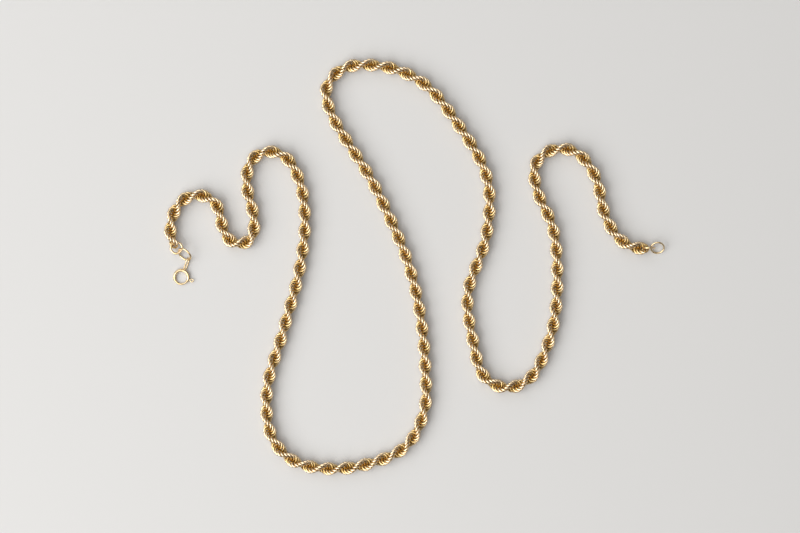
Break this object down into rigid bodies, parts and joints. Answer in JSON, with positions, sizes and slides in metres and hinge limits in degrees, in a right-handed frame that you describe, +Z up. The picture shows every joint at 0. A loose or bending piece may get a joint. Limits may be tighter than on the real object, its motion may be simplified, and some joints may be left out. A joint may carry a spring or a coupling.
{
  "type": "rope chain necklace",
  "caption": "Twisted rope chain of round wire links, laid open, with a spring ring clasp on a jump ring at one end and a plain jump ring at the other.",
  "frame": {"origin": "on the surface that the necklace lies on, under the middle of its outline", "axes": "+X to the right, from the clasp end to the plain end; +Y away from the viewer; +Z up from the surface"},
  "size_m": [0.1783, 0.1482, 0.0048],
  "materials": {
    "rope_gold": "polished gold wire, warm yellow",
    "finding_gold": "polished gold, slightly paler"
  },
  "bodies": {
    "necklace": {"rope": "rope_gold", "end_link_left": "rope_gold", "end_link_right": "rope_gold", "jump_ring_left": "finding_gold", "jump_ring_right": "finding_gold", "clasp_ring": "finding_gold"},
    "tongue": {"clasp_tongue": "finding_gold"}
  },
  "joints": [
    {"name": "clasp_tongue_slide", "type": "hinge", "parent": "necklace", "child": "tongue", "pos_m": [-0.08286, -0.00345, 0.00073], "axis": [-0.034, -0.0729, 0.9968], "range_deg": [0, 60], "stiffness_Nm_per_rad": 0.002}
  ]
}
